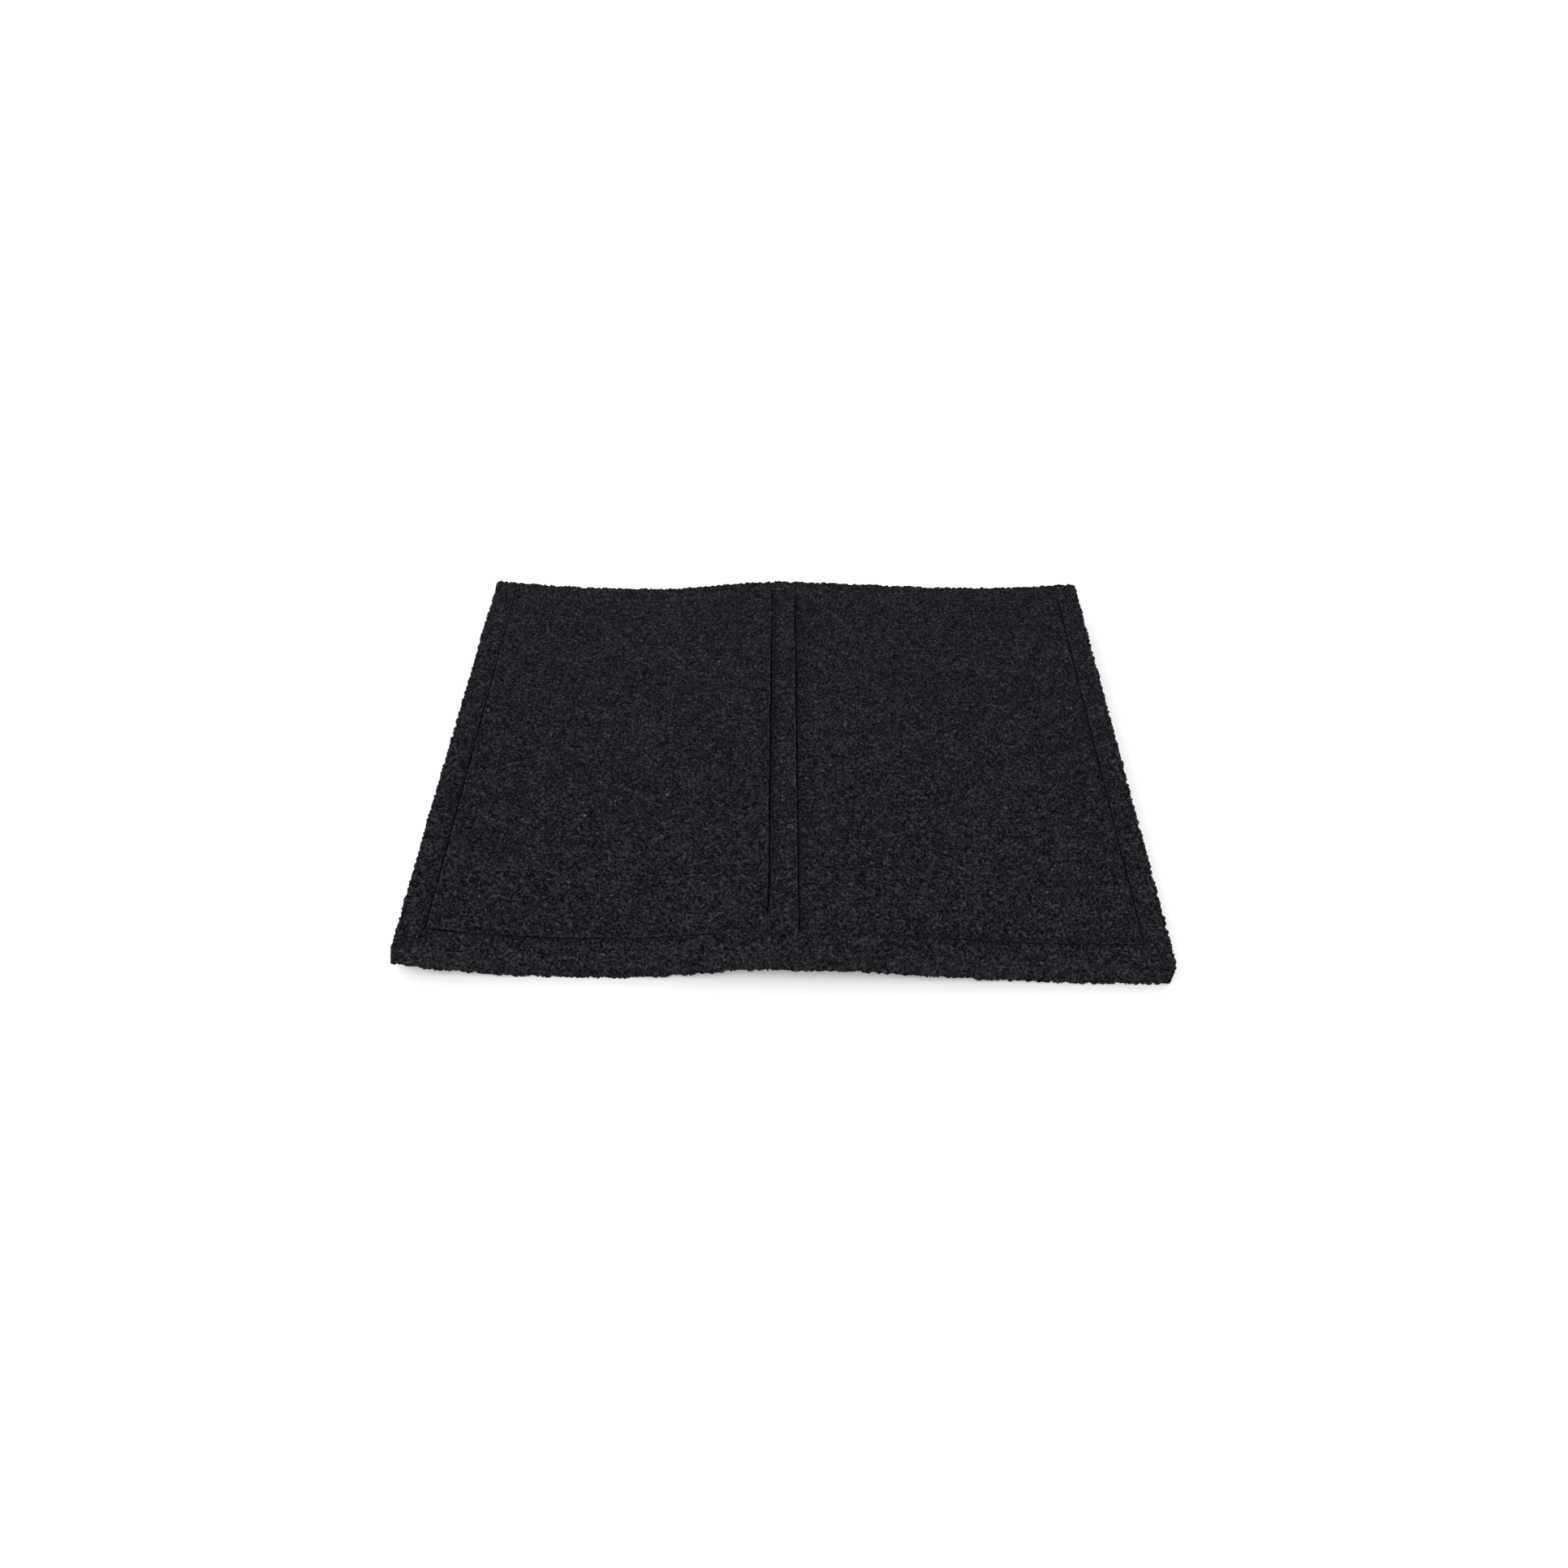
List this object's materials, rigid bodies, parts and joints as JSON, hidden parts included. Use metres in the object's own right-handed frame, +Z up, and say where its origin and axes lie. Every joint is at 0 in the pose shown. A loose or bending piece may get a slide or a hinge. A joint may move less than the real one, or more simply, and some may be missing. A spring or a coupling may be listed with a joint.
{
  "type": "folding foam mat",
  "caption": "Open-cell foam mat: a bordered foam frame that folds across its middle bar, with drop-in foam panels filling its windows.",
  "frame": {"origin": "centre of the footprint, on the surface that the mat lies on", "axes": "+X along the width across the fold, +Y from the front edge to the back edge along the fold, +Z up"},
  "size_m": [0.52, 0.416, 0.033],
  "materials": {
    "frame_foam": "matte charcoal open-cell foam",
    "panel_foam": "matte charcoal open-cell foam"
  },
  "bodies": {
    "left_half": {"frame_left": "frame_foam", "panel_left": "panel_foam"},
    "right_half": {"frame_right": "frame_foam", "panel_right": "panel_foam"}
  },
  "joints": [
    {"name": "fold", "type": "hinge", "parent": "left_half", "child": "right_half", "pos_m": [-0.003, 0, 0.031], "axis": [0, -1, 0], "range_deg": [0, 179]}
  ]
}
